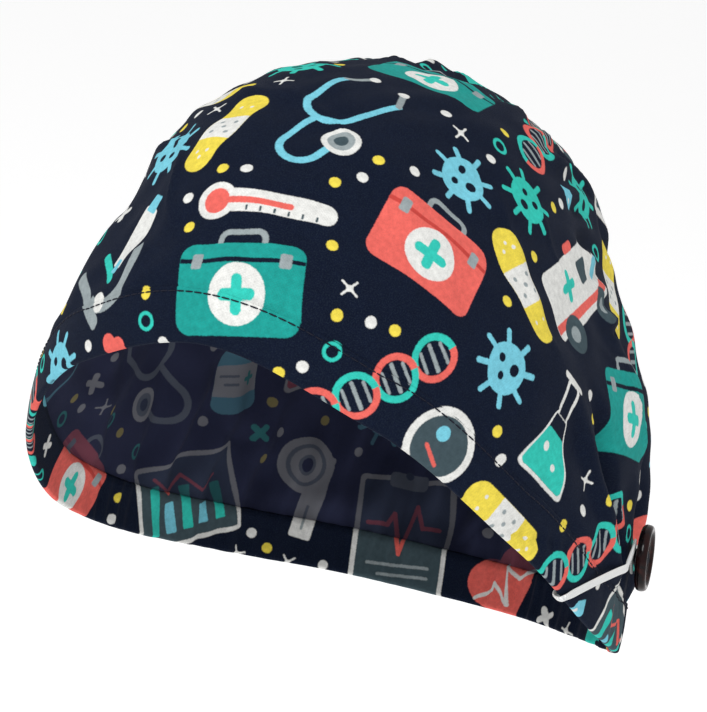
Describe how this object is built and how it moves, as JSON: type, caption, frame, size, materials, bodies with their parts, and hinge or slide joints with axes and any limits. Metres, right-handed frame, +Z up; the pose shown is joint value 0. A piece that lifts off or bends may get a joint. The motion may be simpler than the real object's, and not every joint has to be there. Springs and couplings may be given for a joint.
{
  "type": "surgical scrub cap",
  "caption": "bouffant cotton scrub cap in its worn shape, gathered at the back, with a folded hem, side buttons for ear loops and a white elastic",
  "frame": {"origin": "on the cap's centre line, level with the hem over the forehead, where the head goes in", "axes": "+Z up along the head, the forehead faces -Y, the wearer's left is +X"},
  "size_m": [0.1818, 0.2323, 0.1794],
  "materials": {
    "printed_cotton": "matt woven cotton, dark navy with a small all-over print",
    "hem_cotton": "the same cotton folded double and topstitched",
    "dark_button": "polished dark brown button",
    "navy_thread": "wound sewing thread",
    "white_elastic": "flat knitted elastic"
  },
  "bodies": {
    "root": {"crown": "printed_cotton", "band": "hem_cotton", "button_left": "dark_button", "button_right": "dark_button", "button_shank_left": "navy_thread", "button_shank_right": "navy_thread", "ear_elastic": "white_elastic"}
  },
  "joints": []
}
